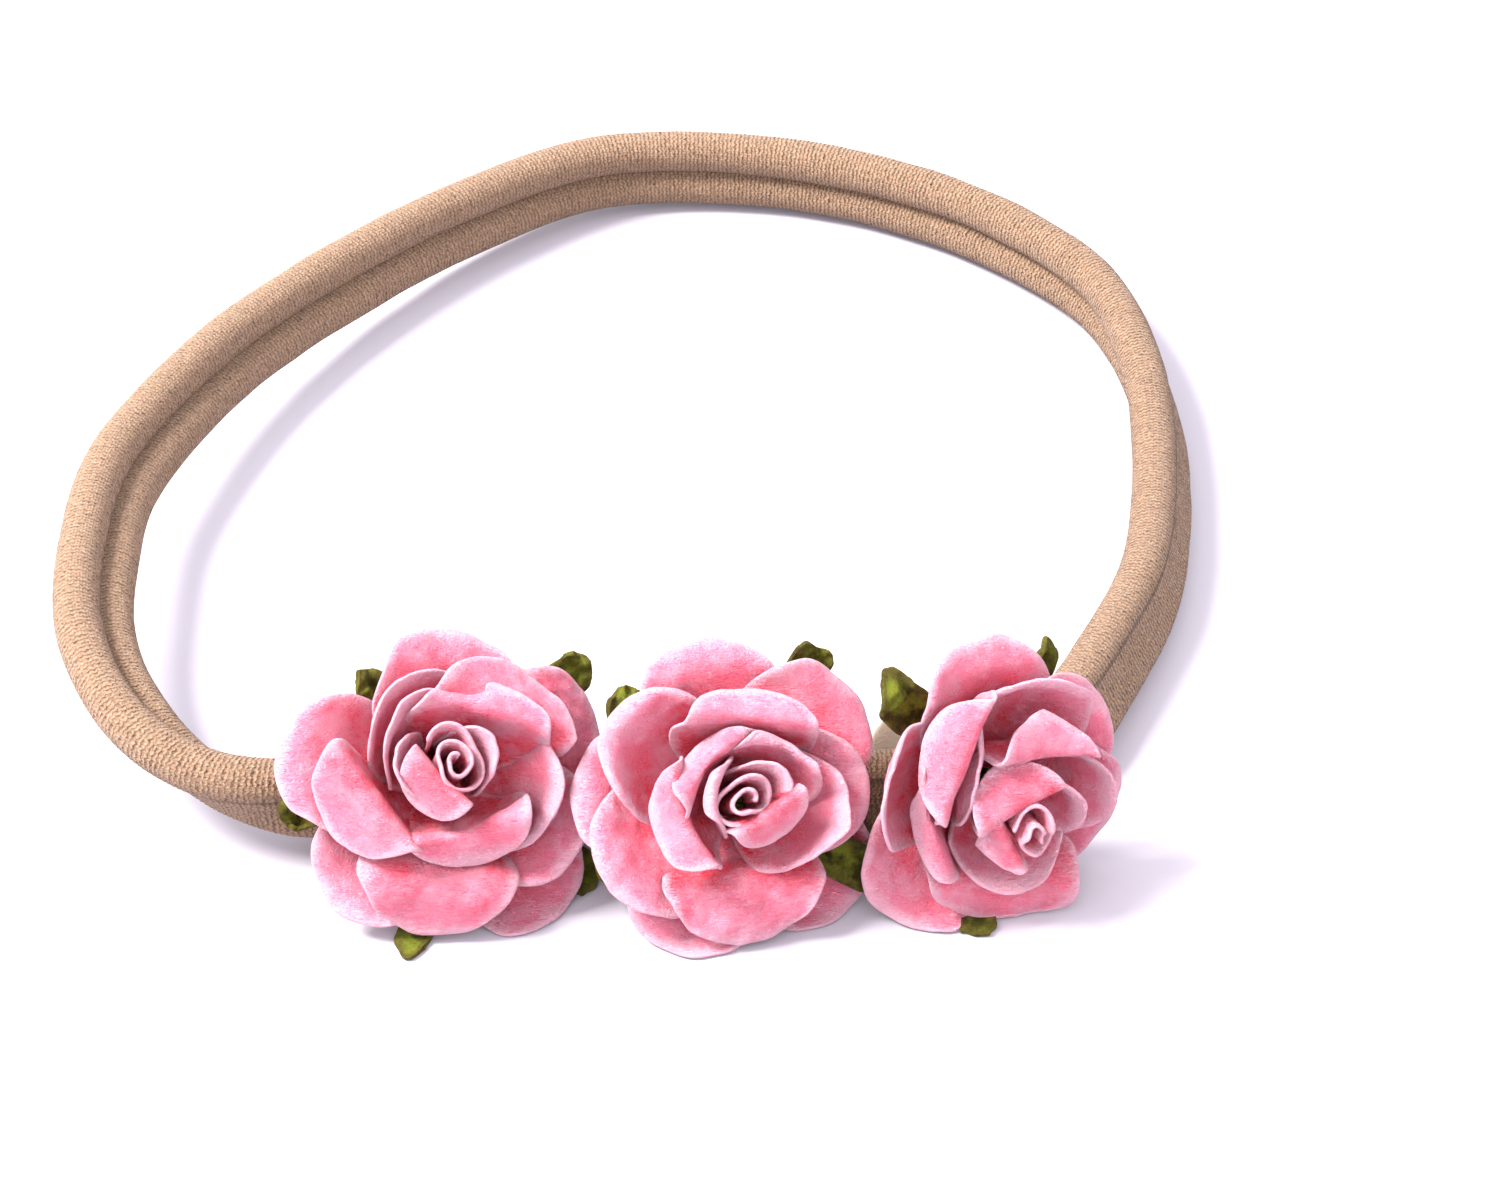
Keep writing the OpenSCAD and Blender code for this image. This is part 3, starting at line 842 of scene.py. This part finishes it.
def makeStem(side):
    rows, columns = stemShape["rows"], stemShape["columns"]
    z = np.linspace(stemShape["low"], stemShape["high"], rows)[:, None]
    a = np.linspace(0, 2 * math.pi, columns, endpoint=False)[None]
    wound = np.abs(np.sin(math.pi * z / stemShape["pitch"] + a / 2))
    ends = np.sqrt(np.clip(1 - ((z - z.mean()) / (z.max() - z.mean()))**16, 0.01, 1))
    radius = (stemShape["radius"] - stemShape["groove"] * (1 - wound)**2) * ends
    points = np.stack([radius * np.cos(a), radius * np.sin(a), z + 0 * a], -1).reshape(-1, 3)
    points = np.concatenate([points, [[0, 0, stemShape["low"]], [0, 0, stemShape["high"]]]])
    faces = gridFaces(rows, columns, closed=True) + endFans((rows - 1) * columns, columns, rows * columns)
    field = np.full((len(points), 3), (3, 0.8, 5.0 + sides.index(side)))
    piece = meshObject(f"{side}_wound_stem", intoRose(side, points), faces, {"petal": field})
    finishPiece(piece, "stem_paper", stemPaper, f"{side}_stem")


# glue: a set drop between the calyx and the band
glueShape = {"radius": 3.1, "low": 2.25, "round": 0.35, "wobble": 0.09, "lumps": 1.3, "sink": 0.55,
             "thin": 0.05, "weld": 0.02, "rows": 24, "columns": 48}


def makeDrop(side):
    middle, normal, up = faceFrame(side)
    right = np.cross(up, normal)
    base, *_, axis = roseFrame(side)
    under = base - glueShape["sink"] * axis
    points = []
    rows, columns = glueShape["rows"], glueShape["columns"]
    for i in range(rows):
        t = i / (rows - 1)
        closing = math.sin(math.pi * t)**glueShape["round"] if 0 < i < rows - 1 else 0.0
        out = glueShape["radius"] * closing
        for j in range(columns):
            a = 2 * math.pi * j / columns
            c, s = math.cos(a), math.sin(a)
            spot = Vector((c * glueShape["lumps"], s * glueShape["lumps"], t * 2 + sides.index(side)))
            wobble = 1 + glueShape["wobble"] * noise.noise(spot)
            foot = middle + glueShape["low"] * normal + out * wobble * (c * right + s * up)
            room = ((under - foot) @ axis) / (normal @ axis)
            points.append(foot + t * max(room, glueShape["thin"]) * normal)
    faces = gridFaces(rows, columns, closed=True)
    piece = meshObject(f"{side}_glue_drop", points, faces)
    bm = bmesh.new()
    bm.from_mesh(piece.data)
    bmesh.ops.remove_doubles(bm, verts=bm.verts, dist=glueShape["weld"] * mm)
    bm.to_mesh(piece.data)
    bm.free()
    finishPiece(piece, "hot_glue", hotGlue, f"{side}_glue")


# felt pads on the inner face of the band
feltShape = {"long": 13.5, "wide": 10, "thick": 1.2, "away": 2.35, "lift": 2.0, "bulge": 0.03,
             "columns": 64}
feltAway = {"left": 0, "middle": 0, "right": 1}


def makePad(side):
    middle, normal, up = faceFrame(side)
    right = np.cross(up, normal)
    straight, radius = (feltShape["long"] - feltShape["wide"]) / 2, feltShape["wide"] / 2
    lift = feltShape["lift"] - seats[side]["lift"] + feltAway[side] * math.tan(faceTilt)
    back = -feltShape["away"] - feltAway[side]
    columns = feltShape["columns"]
    rings = ((0.35, 0, 0), (0.7, 0, 0), (1, 0, 0), (1, 0.22, 0.5), (1, 0.78, 0.5), (1, 1, 0),
             (0.7, 1, 0), (0.35, 1, 0))  # size, depth through the felt, bulge of the cut edge
    outline = []
    for k in range(columns):
        a = 2 * math.pi * k / columns
        outline.append((math.copysign(straight, math.cos(a)), radius * math.cos(a), radius * math.sin(a)))
    points = []
    for size, deep, out in rings:
        for x, c, s in outline:
            grow = size - feltShape["bulge"] * (1 - out)
            spot = (x + c) * grow * right + (s * grow + lift) * up
            points.append(middle + spot + (back - deep * feltShape["thick"]) * normal)
    count = len(points)
    centre = middle + lift * up
    points += [centre + back * normal, centre + (back - feltShape["thick"]) * normal]
    faces = gridFaces(len(rings), columns, closed=True) + endFans(count - columns, columns, count)
    piece = meshObject(f"{side}_backing_pad", points, faces)
    softenPiece(piece, 2)
    finishPiece(piece, "felt", craftFelt, f"{side}_felt_pad")


for side in sides:
    for layer in petals[side]:
        makeWhorl(side, layer)
    makeBud(side)
    makeCalyx(side)
    makeStem(side)
    makeDrop(side)
    makePad(side)
    print(side, "rose built")


# stage: pale table and soft daylight from the left
light = {
    "window": {"place": (-0.62, 0.02, 0.8), "size": 0.4, "power": 36, "colour": (1, 0.985, 0.96)},
    "room": {"colour": (0.97, 0.95, 1, 1), "strength": 2.2},
}
tableLook = {"half": 3000, "colour": (0.45, 0.425, 0.475, 1)}


def makeStage():
    half = tableLook["half"]
    corners = [(-half, -half, 0), (half, -half, 0), (half, half, 0), (-half, half, 0)]
    table = meshObject("table", corners, [(0, 1, 2, 3)])
    material, tree, shader = startMaterial("pale table")
    fillSockets(tree, shader, {"Base Color": tableLook["colour"], "Roughness": 0.6,
                               "Specular IOR Level": 0.2})
    table.data.materials.append(material)


def makeLights():
    window = light["window"]
    lamp = bpy.data.lights.new("window", "AREA")
    lamp.shape = "DISK"
    lamp.size = window["size"]
    lamp.energy = window["power"]
    lamp.color = window["colour"]
    holder = bpy.data.objects.new("window", lamp)
    bpy.context.scene.collection.objects.link(holder)
    holder.location = window["place"]
    holder.rotation_euler = (-Vector(window["place"])).to_track_quat("-Z", "Y").to_euler()
    world = bpy.data.worlds.new("room")
    bpy.context.scene.world = world
    world.use_nodes = True
    room = {"Color": light["room"]["colour"], "Strength": light["room"]["strength"]}
    fillSockets(world.node_tree, world.node_tree.nodes["Background"], room)
    bpy.context.scene.view_settings.view_transform = "Standard"


makeStage()
makeLights()
print("stage lit")
